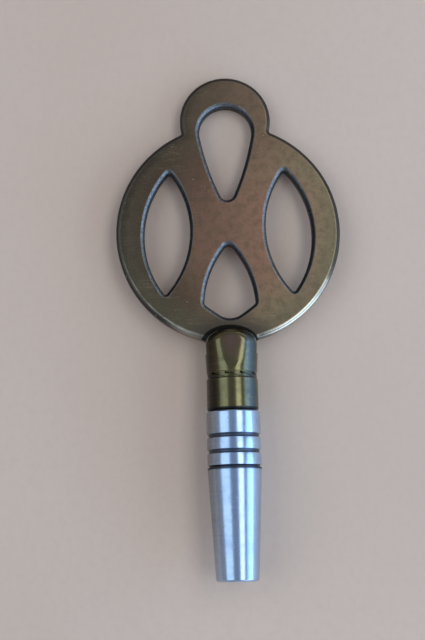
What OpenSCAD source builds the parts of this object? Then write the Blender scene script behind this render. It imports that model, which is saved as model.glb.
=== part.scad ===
// Ratchet winding key: a pierced brass bow in a slotted brass boss, and a steel pipe that free-wheels one way.
// Millimetres. The origin is the middle of the square socket's mouth at the pipe's tip.
// +Y runs along the pipe to the bow, +Z stands out of the bow's face, and X lies across it.

/* [Pipe] */
// Length of the pipe, from its tip to the collar
pipe_len = 15.5; // [15:0.1:20]
// Diameter of the pipe's straight shoulder
pipe_d = 5; // [4.7:0.05:6]
// Diameter of the pipe at its tip
tip_d = 3.95; // [3.6:0.05:4.6]
// Length of the taper, from the tip
taper_len = 10.3; // [7:0.1:12]
// Chamfer round the tip
tip_chamfer = 0.15; // [0.05:0.05:0.25]
// Chamfer round the pipe's end at the collar
shoulder_chamfer = 0.15; // [0.05:0.05:0.3]
// Number of turned grooves round the shoulder
groove_count = 3; // [1:1:3]
// Distance from the collar joint to the first groove
groove_start = 2.3; // [1:0.1:2.5]
// Distance from groove to groove
groove_pitch = 1.45; // [0.8:0.05:1.6]
// Radius of the tool that turns a groove
groove_r = 0.2; // [0.15:0.01:0.3]
// Depth of a groove
groove_depth = 0.17; // [0.08:0.01:0.2]

/* [Square socket] */
// Width of the winding square across its flats
square_w = 2; // [1.5:0.05:2.2]
// Depth of the squared part
square_depth = 6.4; // [4:0.1:6.8]
// How much wider the drilled pilot hole is than the flats
pilot_over = 0.12; // [0.06:0.02:0.2]
// How much deeper the pilot hole goes than the square
pilot_extra = 0.5; // [0.3:0.1:0.8]
// Diameter of the countersunk mouth
mouth_d = 2.7; // [2.4:0.05:3]
// Depth of the countersunk mouth
mouth_depth = 0.3; // [0.1:0.05:0.5]

/* [Collar] */
// Diameter of the collar
collar_d = 4.8; // [4.7:0.05:6]
// Length of the collar, from the pipe to the roots of its teeth
collar_len = 3.05; // [2:0.05:5]
// Chamfer of the collar's edge at the pipe
collar_chamfer = 0.2; // [0.1:0.05:0.3]
// Diameter of the spigot that is pressed into the pipe
spigot_d = 3.7; // [3.2:0.05:4]
// Length of the spigot
spigot_len = 2; // [1.5:0.1:2.5]

/* [Ratchet teeth] */
// Number of saw teeth on each face
tooth_count = 10; // [8:1:14]
// Height of a tooth at the rim
tooth_h = 0.45; // [0.3:0.01:0.55]
// Outer diameter of the ring of teeth
tooth_d = 4.6; // [4.2:0.05:4.65]
// Inner diameter of the ring of teeth
tooth_bore_d = 2.4; // [2:0.05:3]
// Gap between the sloping faces when the teeth are home
tooth_gap = 0.05; // [0.03:0.01:0.1]
// How much is worn off the tips of the collar's teeth
tooth_wear = 0.15; // [0:0.01:0.2]

/* [Boss] */
// Diameter of the boss where its dome starts
boss_d = 5; // [4.9:0.05:6]
// Diameter of the boss just above its teeth
boss_foot_d = 4.74; // [4.7:0.01:4.9]
// Length of the boss, from the roots of its teeth to the dome
boss_len = 2.73; // [2.5:0.05:4]
// Height of the dome
dome_h = 1.63; // [1.4:0.01:1.8]
// Radius of the dome's rounded shoulder
dome_edge_r = 1.2; // [0.8:0.05:1.3]
// Angle up the shoulder at which the flatter crown takes over
dome_edge_angle = 60; // [50:1:70]
// Width of the slanting flat on each face of the boss, where its dome starts
flat_w = 2.4; // [1:0.05:3]
// Height over the roots of the teeth at which the flats run out
flat_start = 0.3; // [0.2:0.05:0.6]

/* [Bow] */
// Thickness of the bow plate
plate_t = 1.5; // [1.2:0.05:1.8]
// How far in from an edge its rounding starts
edge_depth = 0.42; // [0.3:0.01:0.5]
// Diameter of the round body of the bow
disc_d = 21.3; // [20.5:0.1:24]
// Height of the dome's top over the disc's lower edge
disc_seat = 1.46; // [1.2:0.01:1.6]
// Diameter of the ring lobe at the top of the bow
ring_d = 8.7; // [8.2:0.1:10]
// Height of the ring lobe over the disc
ring_rise = 4.75; // [4:0.05:5.5]
// Length of the tang below the disc's edge
tang_len = 1.1; // [0.6:0.05:1.3]
// Fillet between the disc and the tang
tang_fillet_r = 0.6; // [0.3:0.05:0.9]
// Gap filled with brazing metal on each face of the tang
braze_gap = 0.02; // [0.01:0.01:0.05]

/* [Chain loop] */
// Width of the loop at its round top
loop_w = 5.9; // [5.6:0.1:6.2]
// Length of the loop
loop_len = 10.15; // [9:0.05:10.5]
// Width of the round lower end of the loop
loop_end_w = 2.3; // [1.6:0.1:3]
// Metal over the top of the loop
loop_top_w = 2.5; // [1.8:0.05:2.8]
// Radius of the loop's slightly bowed sides
loop_side_r = 27; // [20:1:60]

/* [Side lenses] */
// Width of a side opening
lens_w = 5.2; // [4.4:0.05:5.4]
// Length of a side opening
lens_len = 12.66; // [11:0.02:13]
// Radius of its rounded tips
lens_tip_r = 0.65; // [0.55:0.01:0.9]
// Metal between a side opening and the disc's edge
lens_rim_w = 2.25; // [1.6:0.05:2.4]
// Lean of a side opening, foot outwards, in degrees
lens_lean = 2.85; // [0:0.05:4]

/* [Lower window] */
// Width of the window at its corners
window_w = 5.7; // [4.8:0.05:6]
// Height of the window
window_h = 7.9; // [7:0.05:8.2]
// Strip of plate between the dome and the window
window_sill = 0.45; // [0.3:0.05:0.8]
// Radius of the window's round top
window_top_r = 0.95; // [0.7:0.05:1.1]
// Radius of the window's corners
window_corner_r = 0.9; // [0.7:0.05:1.1]
// Height of the corners' centres over the window's lowest point
window_corner_h = 2.02; // [1.9:0.02:2.4]
// Radius of the window's lowest bend
window_foot_r = 2.2; // [1.8:0.05:2.3]
// Radius of the window's bowed upper sides
window_side_r = 10; // [8:0.5:30]
// Radius of the nearly straight sides below the corners
window_foot_side_r = 20; // [10:1:60]

/* [Spindle screw] */
// Diameter of the spindle's shank
shank_d = 1.4; // [1.2:0.05:1.5]
// Running clearance round the shank, on the radius
shank_clear = 0.05; // [0.02:0.01:0.1]
// Diameter of the spindle's head
head_d = 2.4; // [2:0.05:2.6]
// Thickness of the head
head_t = 0.7; // [0.5:0.05:0.9]
// Free space under the head
head_clear = 0.3; // [0.2:0.05:0.5]
// Width of the screwdriver slot
driver_w = 0.4; // [0.3:0.05:0.5]
// Depth of the screwdriver slot
driver_depth = 0.3; // [0.2:0.05:0.4]
// Diameter of the thread in the boss
thread_d = 1.2; // [0.9:0.05:1.3]
// Length of the thread
thread_len = 1.5; // [1:0.05:1.6]
// Chamfer at the end of the thread
thread_chamfer = 0.2; // [0.1:0.05:0.3]
// Clearance round the thread, on the radius
thread_clear = 0.02; // [0.01:0.01:0.04]

/* [Ratchet spring] */
// Diameter of the spring wire
wire_d = 0.3; // [0.2:0.02:0.32]
// Middle diameter of the spring's coils
coil_d = 2.1; // [2:0.02:2.2]
// Number of turns
coil_turns = 4; // [3:0.5:4.5]
// Distance from turn to turn
coil_pitch = 0.76; // [0.74:0.01:0.85]
// Gap at each end of the spring
coil_end_gap = 0.02; // [0.01:0.01:0.05]
// Gap between the spring and its chamber, on the radius
chamber_clear = 0.25; // [0.15:0.05:0.3]

/* [Hidden] */
$fn = 96;
// How far a cutting shape runs past what it cuts
over = 0.4;
// How far a tang fillet runs into the disc's edge and the tang's side
fillet_bite = 0.05;
// How far an opening's round ends stand out from its sides where they meet
blend_over = 0.02;
// Straight steps that the middle of an opening follows along each side
core_steps = 6;

pipe_r = pipe_d / 2;
tip_r = tip_d / 2;
collar_r = collar_d / 2;
tooth_r = tooth_d / 2;
boss_r = boss_d / 2;

collar_root_y = pipe_len + collar_len;
boss_tip_y = collar_root_y + tooth_gap;
boss_root_y = boss_tip_y + tooth_h;
dome_y = boss_root_y + boss_len;
dome_top_y = dome_y + dome_h;

disc_y = dome_top_y - disc_seat + disc_d / 2;
ring_top_y = disc_y + disc_d / 2 + ring_rise;
ring_y = ring_top_y - ring_d / 2;
slot_y = dome_top_y - disc_seat - tang_len;
tang_half_w = sqrt(pow(boss_foot_d / 2, 2) - pow(plate_t / 2, 2));
edge_r = (pow(edge_depth, 2) + pow(plate_t / 2, 2)) / (2 * edge_depth);

spigot_y = pipe_len - spigot_len;
spring_len = coil_turns * coil_pitch + wire_d;
head_top_y = spigot_y - spring_len - 2 * coil_end_gap;
head_y = head_top_y - head_t;
chamber_d = coil_d + wire_d + 2 * chamber_clear;
chamber_y = head_y - head_clear;

tooth_angle = 360 / tooth_count;
tooth_slope = tooth_h / (tooth_r * sin(tooth_angle));

loop_r = loop_w / 2;
loop_end_r = loop_end_w / 2;
loop_top_y = ring_top_y - loop_top_w;
LOOP = [
    [0, loop_top_y - loop_r, loop_r],
    [0, loop_top_y - loop_len + loop_end_r, loop_end_r]
];

lens_x = disc_d / 2 - lens_rim_w - lens_w / 2;
lens_tip_y = lens_len / 2 - lens_tip_r;
lens_side_r = (pow(lens_tip_y, 2) + pow(lens_w / 2, 2) - pow(lens_tip_r, 2)) / (lens_w - 2 * lens_tip_r);
LENS = [
    [0, lens_tip_y, lens_tip_r],
    [0, -lens_tip_y, lens_tip_r]
];

window_y = dome_top_y + window_sill;
window_corner_x = window_w / 2 - window_corner_r;
WINDOW = [
    [0, window_y + window_h - window_top_r, window_top_r],
    [-window_corner_x, window_y + window_corner_h, window_corner_r],
    [0, window_y + window_foot_r, window_foot_r],
    [window_corner_x, window_y + window_corner_h, window_corner_r]
];
WINDOW_SIDES = [window_side_r, window_foot_side_r, window_foot_side_r, window_side_r];

// Turned pieces: a profile of [radius, distance from the tip], spun round the key's axis
module along_y() {
    rotate([-90, 0, 0]) children();
}

module turned(profile) {
    along_y() rotate_extrude() polygon(profile);
}

// An outline is a ring of end circles [x, y, radius], counter-clockwise, with a bowed side from each to the next.
// A side is an arc that runs smoothly into both of its end circles.
function flat(c) = [c[0], c[1]];
function next(list, i) = list[(i + 1) % len(list)];
function heading(from, to) = atan2(to[1] - from[1], to[0] - from[0]);
function turn(a, b) = (b - a + 720) % 360;
function polar(centre, r, angle) = [centre[0] + r * cos(angle), centre[1] + r * sin(angle)];

function side_centre(a, b, r) =
    let (
        gap = norm(flat(b) - flat(a)),
        u = (flat(b) - flat(a)) / gap,
        along = (pow(r - a[2], 2) - pow(r - b[2], 2) + gap * gap) / (2 * gap),
        aside = sqrt(pow(r - a[2], 2) - along * along)
    )
    flat(a) + along * u + aside * [-u[1], u[0]];

// Edge of an opening in section, from r_in out to its face edge r, narrowest halfway through the plate
module edge_profile(r_in, r) {
    nose_r = r - edge_depth + edge_r;
    difference() {
        translate([r_in, -plate_t]) square([r + over / 2 - r_in, 2 * plate_t]);
        translate([nose_r, 0]) circle(edge_r);
    }
}

// Solid of an opening with rounded edges, to be cut from the plate
module opening(circles, side_rs) {
    sides = [0 : len(circles) - 1];
    centres = [for (i = sides) side_centre(circles[i], next(circles, i), side_rs[i])];
    starts = [for (i = sides) heading(centres[i], circles[i])];
    sweeps = [for (i = sides) turn(starts[i], heading(centres[i], next(circles, i)))];
    core_depth = 1.5 * edge_depth;
    core = [
        for (i = sides)
            each [
                flat(circles[i]),
                for (k = [1 : core_steps - 1])
                    polar(centres[i], side_rs[i] - core_depth, starts[i] + sweeps[i] * k / core_steps)
            ]
    ];
    linear_extrude(2 * plate_t, center = true) polygon(core);
    for (i = sides) {
        sag = side_rs[i] * (1 - cos(sweeps[i] / core_steps / 2));
        translate(centres[i]) rotate(starts[i]) rotate_extrude(angle = sweeps[i])
            edge_profile(side_rs[i] - 1.5 * core_depth - sag, side_rs[i]);
        translate(flat(circles[i])) rotate_extrude() edge_profile(0, circles[i][2] + blend_over);
    }
}

// Round plate with rounded edges
module coin(d) {
    rotate_extrude() intersection() {
        translate([0, -plate_t / 2]) square([d, plate_t]);
        union() {
            translate([0, -plate_t / 2]) square([d / 2 - edge_r, plate_t]);
            translate([d / 2 - edge_r, 0]) circle(edge_r);
        }
    }
}

// Tang below the disc, with a fillet on each side that runs into the disc's edge
module tang() {
    fillet_x = tang_half_w + tang_fillet_r - fillet_bite;
    fillet_y = disc_y - sqrt(pow(disc_d / 2 + tang_fillet_r - fillet_bite, 2) - pow(fillet_x, 2));
    inside = polar([fillet_x, fillet_y], 2 * tang_fillet_r + edge_r, heading([fillet_x, fillet_y], [0, disc_y]));
    half = [[tang_half_w, slot_y + braze_gap], [tang_half_w, fillet_y], [fillet_x, fillet_y], inside];
    other_half = [for (i = [len(half) - 1 : -1 : 0]) [-half[i][0], half[i][1]]];
    difference() {
        linear_extrude(plate_t, center = true) polygon(concat(half, other_half));
        for (side = [-1, 1])
            translate([side * fillet_x, fillet_y]) rotate_extrude() edge_profile(0, tang_fillet_r + edge_depth);
    }
}

module bow() {
    color("darkgoldenrod") difference() {
        union() {
            translate([0, disc_y]) coin(disc_d);
            translate([0, ring_y]) coin(ring_d);
            tang();
        }
        opening(LOOP, [loop_side_r, loop_side_r]);
        opening(WINDOW, WINDOW_SIDES);
        for (side = [-1, 1])
            translate([side * lens_x, disc_y]) rotate(side * lens_lean) opening(LENS, [lens_side_r, lens_side_r]);
    }
}

// Ten wedges with flat sloping tops, each falling away from a radial edge at height top, down to depth below it
module saw_wedges(top, depth) {
    along_y() for (i = [0 : tooth_count - 1])
        rotate(i * tooth_angle) rotate([90, 0, 90]) linear_extrude(tooth_d)
            polygon([[0, top], [0, top - depth], [depth / tooth_slope, top - depth]]);
}

module boss_section() {
    crown_r = boss_r - dome_edge_r * (1 - cos(dome_edge_angle));
    crown_y = dome_y + dome_edge_r * sin(dome_edge_angle);
    crown_h = dome_top_y - crown_y;
    crown_ball_r = (crown_r * crown_r + crown_h * crown_h) / (2 * crown_h);
    polygon([
        [0, boss_tip_y],
        [tooth_r, boss_tip_y],
        [tooth_r, boss_root_y],
        [boss_foot_d / 2, boss_root_y + boss_foot_d / 2 - tooth_r],
        [boss_r, dome_y],
        [0, dome_y]
    ]);
    translate([0, dome_y]) square([boss_r - dome_edge_r, crown_y - dome_y]);
    intersection() {
        translate([boss_r - dome_edge_r, dome_y]) circle(dome_edge_r);
        translate([boss_r - dome_edge_r, dome_y]) square(2 * dome_edge_r);
    }
    intersection() {
        translate([0, dome_top_y - crown_ball_r]) circle(crown_ball_r);
        translate([0, crown_y]) square(2 * crown_r);
    }
}

// Block that cuts the slanting flat on the front of the boss
module flat_cut() {
    foot_r = boss_foot_d / 2;
    side_y = boss_root_y + foot_r - tooth_r;
    start_y = boss_root_y + flat_start;
    start_z = foot_r + (boss_r - foot_r) * (start_y - side_y) / (dome_y - side_y);
    end_z = sqrt(pow(boss_r, 2) - pow(flat_w / 2, 2));
    lean = atan2(start_z - end_z, dome_y - start_y);
    translate([-boss_d, start_y, start_z]) rotate([-lean, 0, 0]) translate([0, -over, 0])
        cube([2 * boss_d, over + boss_len + dome_h, boss_d]);
}

module boss() {
    slot_t = plate_t + 2 * braze_gap;
    color("goldenrod") difference() {
        along_y() rotate_extrude() boss_section();
        saw_wedges(boss_root_y, tooth_h + over);
        turned([[0, boss_tip_y - over], [tooth_bore_d / 2, boss_tip_y - over], [tooth_bore_d / 2, boss_root_y],
            [0, boss_root_y]]);
        turned([[0, boss_tip_y], [thread_d / 2 + thread_clear, boss_tip_y],
            [thread_d / 2 + thread_clear, slot_y + over], [0, slot_y + over]]);
        translate([-boss_d, slot_y, -slot_t / 2]) cube([2 * boss_d, 2 * dome_h + boss_len, slot_t]);
        for (face = [0, 1])
            mirror([0, 0, face]) flat_cut();
    }
}

module spindle_screw() {
    color("slategray") difference() {
        turned([
            [0, head_y],
            [head_d / 2, head_y],
            [head_d / 2, head_top_y],
            [shank_d / 2, head_top_y],
            [shank_d / 2, boss_root_y],
            [thread_d / 2, boss_root_y],
            [thread_d / 2, boss_root_y + thread_len - thread_chamfer],
            [thread_d / 2 - thread_chamfer, boss_root_y + thread_len],
            [0, boss_root_y + thread_len]
        ]);
        translate([-head_d, head_y - over, -driver_w / 2]) cube([2 * head_d, over + driver_depth, driver_w]);
    }
}

// Spring wire: rings of points round a helix, skinned into one unbroken tube
coil_rings = 8;
wire_sides = 6;
coil_steps = coil_turns * coil_rings;
coil_y = head_top_y + coil_end_gap + wire_d / 2;
coil_climb = atan2(coil_pitch, PI * coil_d);

function coil_point(i) =
    let (angle = 360 * i / coil_rings)
    [coil_d / 2 * sin(angle), coil_y + coil_pitch * i / coil_rings, coil_d / 2 * cos(angle)];

function wire_point(i, j) =
    let (
        angle = 360 * i / coil_rings,
        spin = 360 * j / wire_sides,
        out = [sin(angle), 0, cos(angle)],
        up = [-cos(angle) * sin(coil_climb), cos(coil_climb), sin(angle) * sin(coil_climb)]
    )
    coil_point(i) + wire_d / 2 * (cos(spin) * out + sin(spin) * up);

coil_self_gap = min([
    for (i = [0 : coil_steps])
        for (j = [i + coil_rings / 2 : 1 : coil_steps])
            norm(coil_point(i) - coil_point(j))
]) - wire_d;
echo(str("least gap of the spring to itself: ", coil_self_gap, " mm"));

module ratchet_spring() {
    points = [for (i = [0 : coil_steps]) for (j = [0 : wire_sides - 1]) wire_point(i, j)];
    skin = [
        for (i = [0 : coil_steps - 1])
            for (j = [0 : wire_sides - 1])
                let (
                    k = (j + 1) % wire_sides,
                    a = i * wire_sides + j,
                    b = i * wire_sides + k
                )
                each [[a, b, a + wire_sides], [b, b + wire_sides, a + wire_sides]]
    ];
    last = coil_steps * wire_sides;
    caps = [
        for (j = [1 : wire_sides - 2])
            each [[0, j + 1, j], [last, last + j, last + j + 1]]
    ];
    color("lightsteelblue") polyhedron(points, concat(skin, caps));
}

module ratchet_collar() {
    chamfer_at_teeth = collar_r - tooth_r;
    bore_r = shank_d / 2 + shank_clear;
    color("goldenrod") difference() {
        union() {
            turned([
                [0, spigot_y],
                [spigot_d / 2, spigot_y],
                [spigot_d / 2, pipe_len],
                [collar_r - collar_chamfer, pipe_len],
                [collar_r, pipe_len + collar_chamfer],
                [collar_r, collar_root_y - chamfer_at_teeth],
                [tooth_r, collar_root_y],
                [0, collar_root_y]
            ]);
            intersection() {
                saw_wedges(collar_root_y + tooth_h, tooth_h + chamfer_at_teeth);
                turned([
                    [tooth_bore_d / 2, collar_root_y - chamfer_at_teeth],
                    [tooth_r, collar_root_y - chamfer_at_teeth],
                    [tooth_r, collar_root_y + tooth_h - tooth_wear],
                    [tooth_bore_d / 2, collar_root_y + tooth_h - tooth_wear]
                ]);
            }
        }
        turned([[0, spigot_y - over], [bore_r, spigot_y - over], [bore_r, boss_root_y], [0, boss_root_y]]);
    }
}

module pipe() {
    pilot_r = (square_w + pilot_over) / 2;
    pilot_y = square_depth + pilot_extra;
    drill_point_h = pilot_r / tan(59);
    color("silver") difference() {
        turned([
            [0, 0],
            [tip_r - tip_chamfer, 0],
            [tip_r, tip_chamfer],
            [pipe_r, taper_len],
            [pipe_r, pipe_len - shoulder_chamfer],
            [pipe_r - shoulder_chamfer, pipe_len],
            [0, pipe_len]
        ]);
        along_y() for (i = [0 : groove_count - 1])
            rotate_extrude() translate([pipe_r + groove_r - groove_depth, pipe_len - groove_start - i * groove_pitch])
                circle(groove_r);
        translate([-square_w / 2, -over, -square_w / 2]) cube([square_w, over + square_depth, square_w]);
        turned([[0, -over], [pilot_r, -over], [pilot_r, pilot_y], [0, pilot_y + drill_point_h]]);
        turned([[0, -over], [mouth_d / 2, -over], [mouth_d / 2, 0], [0, mouth_depth * mouth_d / (mouth_d - square_w)]]);
        turned([
            [0, chamber_y],
            [chamber_d / 2, chamber_y],
            [chamber_d / 2, spigot_y],
            [spigot_d / 2, spigot_y],
            [spigot_d / 2, pipe_len + over],
            [0, pipe_len + over]
        ]);
    }
}

bow();
boss();
spindle_screw();
ratchet_spring();
ratchet_collar();
pipe();
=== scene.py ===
"""Looks of the ratchet winding key: aged brass bow, turned brass boss and collar, polished steel pipe."""

import math

import bmesh
import bpy
import numpy as np
from mathutils import Matrix, Vector
from mathutils.geometry import delaunay_2d_cdt


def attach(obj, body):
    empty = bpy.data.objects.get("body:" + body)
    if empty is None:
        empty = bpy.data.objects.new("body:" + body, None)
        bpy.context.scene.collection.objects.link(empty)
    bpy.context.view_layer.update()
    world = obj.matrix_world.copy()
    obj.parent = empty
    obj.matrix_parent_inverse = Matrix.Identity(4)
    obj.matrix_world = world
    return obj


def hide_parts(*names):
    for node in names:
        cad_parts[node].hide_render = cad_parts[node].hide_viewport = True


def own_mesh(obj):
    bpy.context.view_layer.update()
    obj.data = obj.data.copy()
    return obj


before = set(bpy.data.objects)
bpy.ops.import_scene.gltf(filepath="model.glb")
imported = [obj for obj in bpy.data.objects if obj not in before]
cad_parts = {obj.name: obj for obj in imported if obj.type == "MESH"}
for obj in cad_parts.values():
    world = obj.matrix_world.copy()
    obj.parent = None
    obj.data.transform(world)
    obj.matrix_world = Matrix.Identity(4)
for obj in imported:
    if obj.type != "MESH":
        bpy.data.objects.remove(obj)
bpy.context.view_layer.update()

# Sizes are in millimetres, as in the part's source, and MM turns them into metres.
MM = 0.001

# Distances in metres within which points count as one
WELD_DIST = 1e-7
JOIN_DIST = 1e-6
# The same in millimetres, for flat faces, for points on the axis and for what a cut leaves
FLAT_WELD = 1e-7
AXIS_R = 1e-6
SLIVER = 0.001
# Stands for no height where a height is divided by
TINY = 1e-12
# A rounded corner's rows, and how far the next row lies from it as a share of its radius
BEND_ROWS = 5
BEND_LEAD = 0.4
# How far a cutter runs past the face it cuts into
CUT_PAST = 0.5

# Bow
PLATE_T = 1.5
EDGE_DEPTH = 0.42
# Each bend of an edge is (share of its length, slope of its normal at the bend's end in degrees, rows).
FILED_EDGE = [(0.08, 26, 5), (0.74, 58, 5), (0.18, 90, 5)]
FILED_EDGE_W = 0.37
RUBBED_EDGE = [(0.3, 40, 5), (0.7, 90, 10)]
RUBBED_EDGE_W = 0.42
EDGE_SAMPLES = 400
TANG_EDGE_R = 0.06
TANG_EDGE_ROWS = 5
# Rows of an edge's straight wall, as shares of its height, and how far in from the edge its last row lies
WALL_ROWS = (0.0, 0.6)
FACE_ROW_W = 0.05
# Grid of points on the flat faces, and how far it keeps from the edges
FACE_GRID = 0.45
FACE_GRID_X = (-10.5, 10.6)
FACE_GRID_Y = (21, 48)
FACE_GRID_GAP = 0.25
# How much painted shade a wall gets for facing left and for facing up
SHADE_FACING_X = 1.2
SHADE_FACING_Y = -0.9
DISC_Y = 32.6
DISC_R = 10.65
RING_Y = 43.65
RING_R = 4.35
SHOULDER_R = 0.3
TANG_HALF_W = 2.248
TANG_FOOT_Y = 20.87
TANG_FILLET_R = 0.6
TANG_CORNER_R = 0.3
LOOP = [(0, 42.55, 2.95), (0, 36.5, 1.15)]
LOOP_SIDES = [27, 27]
LENS_X = 5.8
LENS_LEAN = 2.85
LENS = [(0, 5.68, 0.65), (0, -5.68, 0.65)]
LENS_SIDES = [9.8975, 9.8975]
WINDOW = [(0, 30.81, 0.95), (-1.95, 25.88, 0.9), (0, 26.06, 2.2), (1.95, 25.88, 0.9)]
WINDOW_SIDES = [10, 20, 20, 10]

# Ratchet
TOOTH_COUNT = 10
TOOTH_STEPS = 20
TOOTH_H = 0.45
TOOTH_R = 2.3
TOOTH_BORE_R = 1.2
TOOTH_MID_R = 1.75
TOOTH_WEAR = 0.15
TOOTH_PITCH = 2 * math.pi / TOOTH_COUNT
TOOTH_SLOPE = TOOTH_H / (TOOTH_R * math.sin(TOOTH_PITCH))
KNEE_SHARE = 0.4
COLLAR_ROOT_Y = 18.55
COLLAR_R = 2.4
COLLAR_BORE_R = 0.75
COLLAR_CHAMFER = 0.2
SPIGOT_R = 1.85
SPIGOT_Y = 13.5
BOSS_ROOT_Y = 19.05
BOSS_FOOT_R = 2.37
BOSS_SIDE_Y = BOSS_ROOT_Y + BOSS_FOOT_R - TOOTH_R
BOSS_R = 2.5
BARREL_ROWS = [0.02, *np.linspace(0.06, 0.96, 22)]
DOME_Y = 21.78
DOME_TOP_Y = 23.41
DOME_EDGE_R = 1.2
DOME_EDGE_ANGLE = 60
DOME_EDGE_ROWS = 17
CROWN_ROWS = 9
FLAT_W = 2.4
FLAT_START = 0.3
FLAT_SOFT = 0.26
FLAT_FADE = 0.8
SLOT_Y = 20.85
SLOT_HALF_T = 0.77
SLOT_CUT_X = 6
SLOT_CUT_Y = 30
THREAD_R = 0.6
THREAD_HOLE_R = 0.62
HOLE_PAST_SLOT = 0.2

# Pipe
PIPE_LEN = 15.5
PIPE_R = 2.5
TIP_R = 1.975
TAPER_LEN = 10.3
TAPER_EASE = 0.45
PIPE_CHAMFER = 0.15
GROOVES_Y = [13.2, 11.75, 10.3]
GROOVE_R = 0.2
GROOVE_DEPTH = 0.17
GROOVE_LIP_W = 0.03
GROOVE_LIP_H = 0.012
GROOVE_ROWS = 11
SQUARE_HALF_W = 1.0
SQUARE_DEPTH = 6.4
PILOT_R = 1.06
PILOT_Y = 6.9
DRILL_HALF_ANGLE = 59
MOUTH_R = 1.35
MOUTH_CONE_H = 1.157
CHAMBER_R = 1.45
CHAMBER_Y = 9.1

# Spindle and spring
HEAD_Y = 9.42
HEAD_TOP_Y = 10.12
HEAD_R = 1.2
DRIVER_SLOT_DEPTH = 0.3
DRIVER_SLOT_HALF_W = 0.2
DRIVER_CUT_X = 2
SHANK_R = 0.7
THREAD_END_Y = 20.55
THREAD_CHAMFER = 0.2
COIL_D = 2.1
WIRE_D = 0.3
COIL_TURNS = 4
COIL_PITCH = 0.76
COIL_Y = 10.29
COIL_STEPS = 48
WIRE_STEPS = 16


# Meshes

def new_object(name, data):
    """An object at the origin, in the scene."""
    made = bpy.data.objects.new(name, data)
    bpy.context.scene.collection.objects.link(made)
    return made


def add_piece(name, mesh, material):
    """A piece with its place in its mesh."""
    mesh.materials.clear()
    mesh.materials.append(material)
    return new_object(name, mesh)


def shade(mesh, angle):
    """Smooth shading that breaks at edges sharper than an angle in degrees."""
    mesh.shade_smooth()
    mesh.set_sharp_from_angle(angle=math.radians(angle))


def clean(mesh):
    """Merges doubles and turns every face outwards."""
    bm = bmesh.new()
    bm.from_mesh(mesh)
    bmesh.ops.remove_doubles(bm, verts=bm.verts, dist=WELD_DIST)
    bmesh.ops.dissolve_degenerate(bm, edges=bm.edges, dist=WELD_DIST)
    bmesh.ops.recalc_face_normals(bm, faces=bm.faces)
    bm.to_mesh(mesh)
    bm.free()


def bake(piece):
    """Works a piece's modifiers into a new plain mesh."""
    bpy.context.view_layer.update()
    graph = bpy.context.evaluated_depsgraph_get()
    made = bpy.data.meshes.new_from_object(piece.evaluated_get(graph))
    old = piece.data
    piece.modifiers.clear()
    piece.data = made
    made.name = piece.name
    bpy.data.meshes.remove(old)


def arc(centre, r, start, end, metal, step=0.09, least=6, least_r=0.4):
    """Samples of an arc, from start to end in degrees: points, and unit vectors into the metal.
    metal is 1 where the metal lies outside the arc and -1 where it lies inside."""
    count = max(least, math.ceil(abs(math.radians(end - start)) * max(r, least_r) / step))
    angles = np.radians(np.linspace(start, end, count, endpoint=False))
    out = np.stack([np.cos(angles), np.sin(angles)], 1)
    return np.array(centre) + r * out, metal * out


def straight(a, b, normal, step=0.15, least=2):
    """Samples of a straight edge from a to b."""
    count = max(least, math.ceil(math.dist(a, b) / step))
    t = np.linspace(0, 1, count, endpoint=False)[:, None]
    points = np.array(a) * (1 - t) + np.array(b) * t
    return points, np.tile(np.array(normal, float), (count, 1))


def heading(a, b):
    """The way from a to b, in degrees."""
    return math.degrees(math.atan2(b[1] - a[1], b[0] - a[0]))


def opening_outline(circles, side_rs, turn=0, shift=(0, 0)):
    """Outline of an opening halfway through the plate, where it is narrowest: a ring of corner circles
    (x, y, radius) joined by arcs of the side radii that touch them, turned by some degrees and shifted."""
    count = len(circles)
    centres = []
    for i, (x, y, r) in enumerate(circles):
        bx, by, br = circles[(i + 1) % count]
        gap = math.dist((x, y), (bx, by))
        u = np.array([bx - x, by - y]) / gap
        along = ((side_rs[i] - r) ** 2 - (side_rs[i] - br) ** 2 + gap**2) / (2 * gap)
        aside = math.sqrt((side_rs[i] - r) ** 2 - along**2)
        centres.append(np.array([x, y]) + along * u + aside * np.array([-u[1], u[0]]))
    parts = []
    for i in range(count):
        after = circles[(i + 1) % count]
        start = heading(centres[i], circles[i])
        sweep = (heading(centres[i], after) - start) % 360
        parts.append(arc(centres[i], side_rs[i] - EDGE_DEPTH, start, start + sweep, 1))
        bend = (heading(centres[(i + 1) % count], after) - heading(centres[i], after)) % 360
        start = heading(centres[i], after)
        parts.append(arc(after[:2], after[2] - EDGE_DEPTH, start, start + bend, 1))
    points = np.concatenate([p for p, n in parts])
    inward = np.concatenate([n for p, n in parts])
    c, s = math.cos(math.radians(turn)), math.sin(math.radians(turn))
    spin = np.array([[c, s], [-s, c]])
    return points @ spin + np.array(shift), inward @ spin


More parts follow.
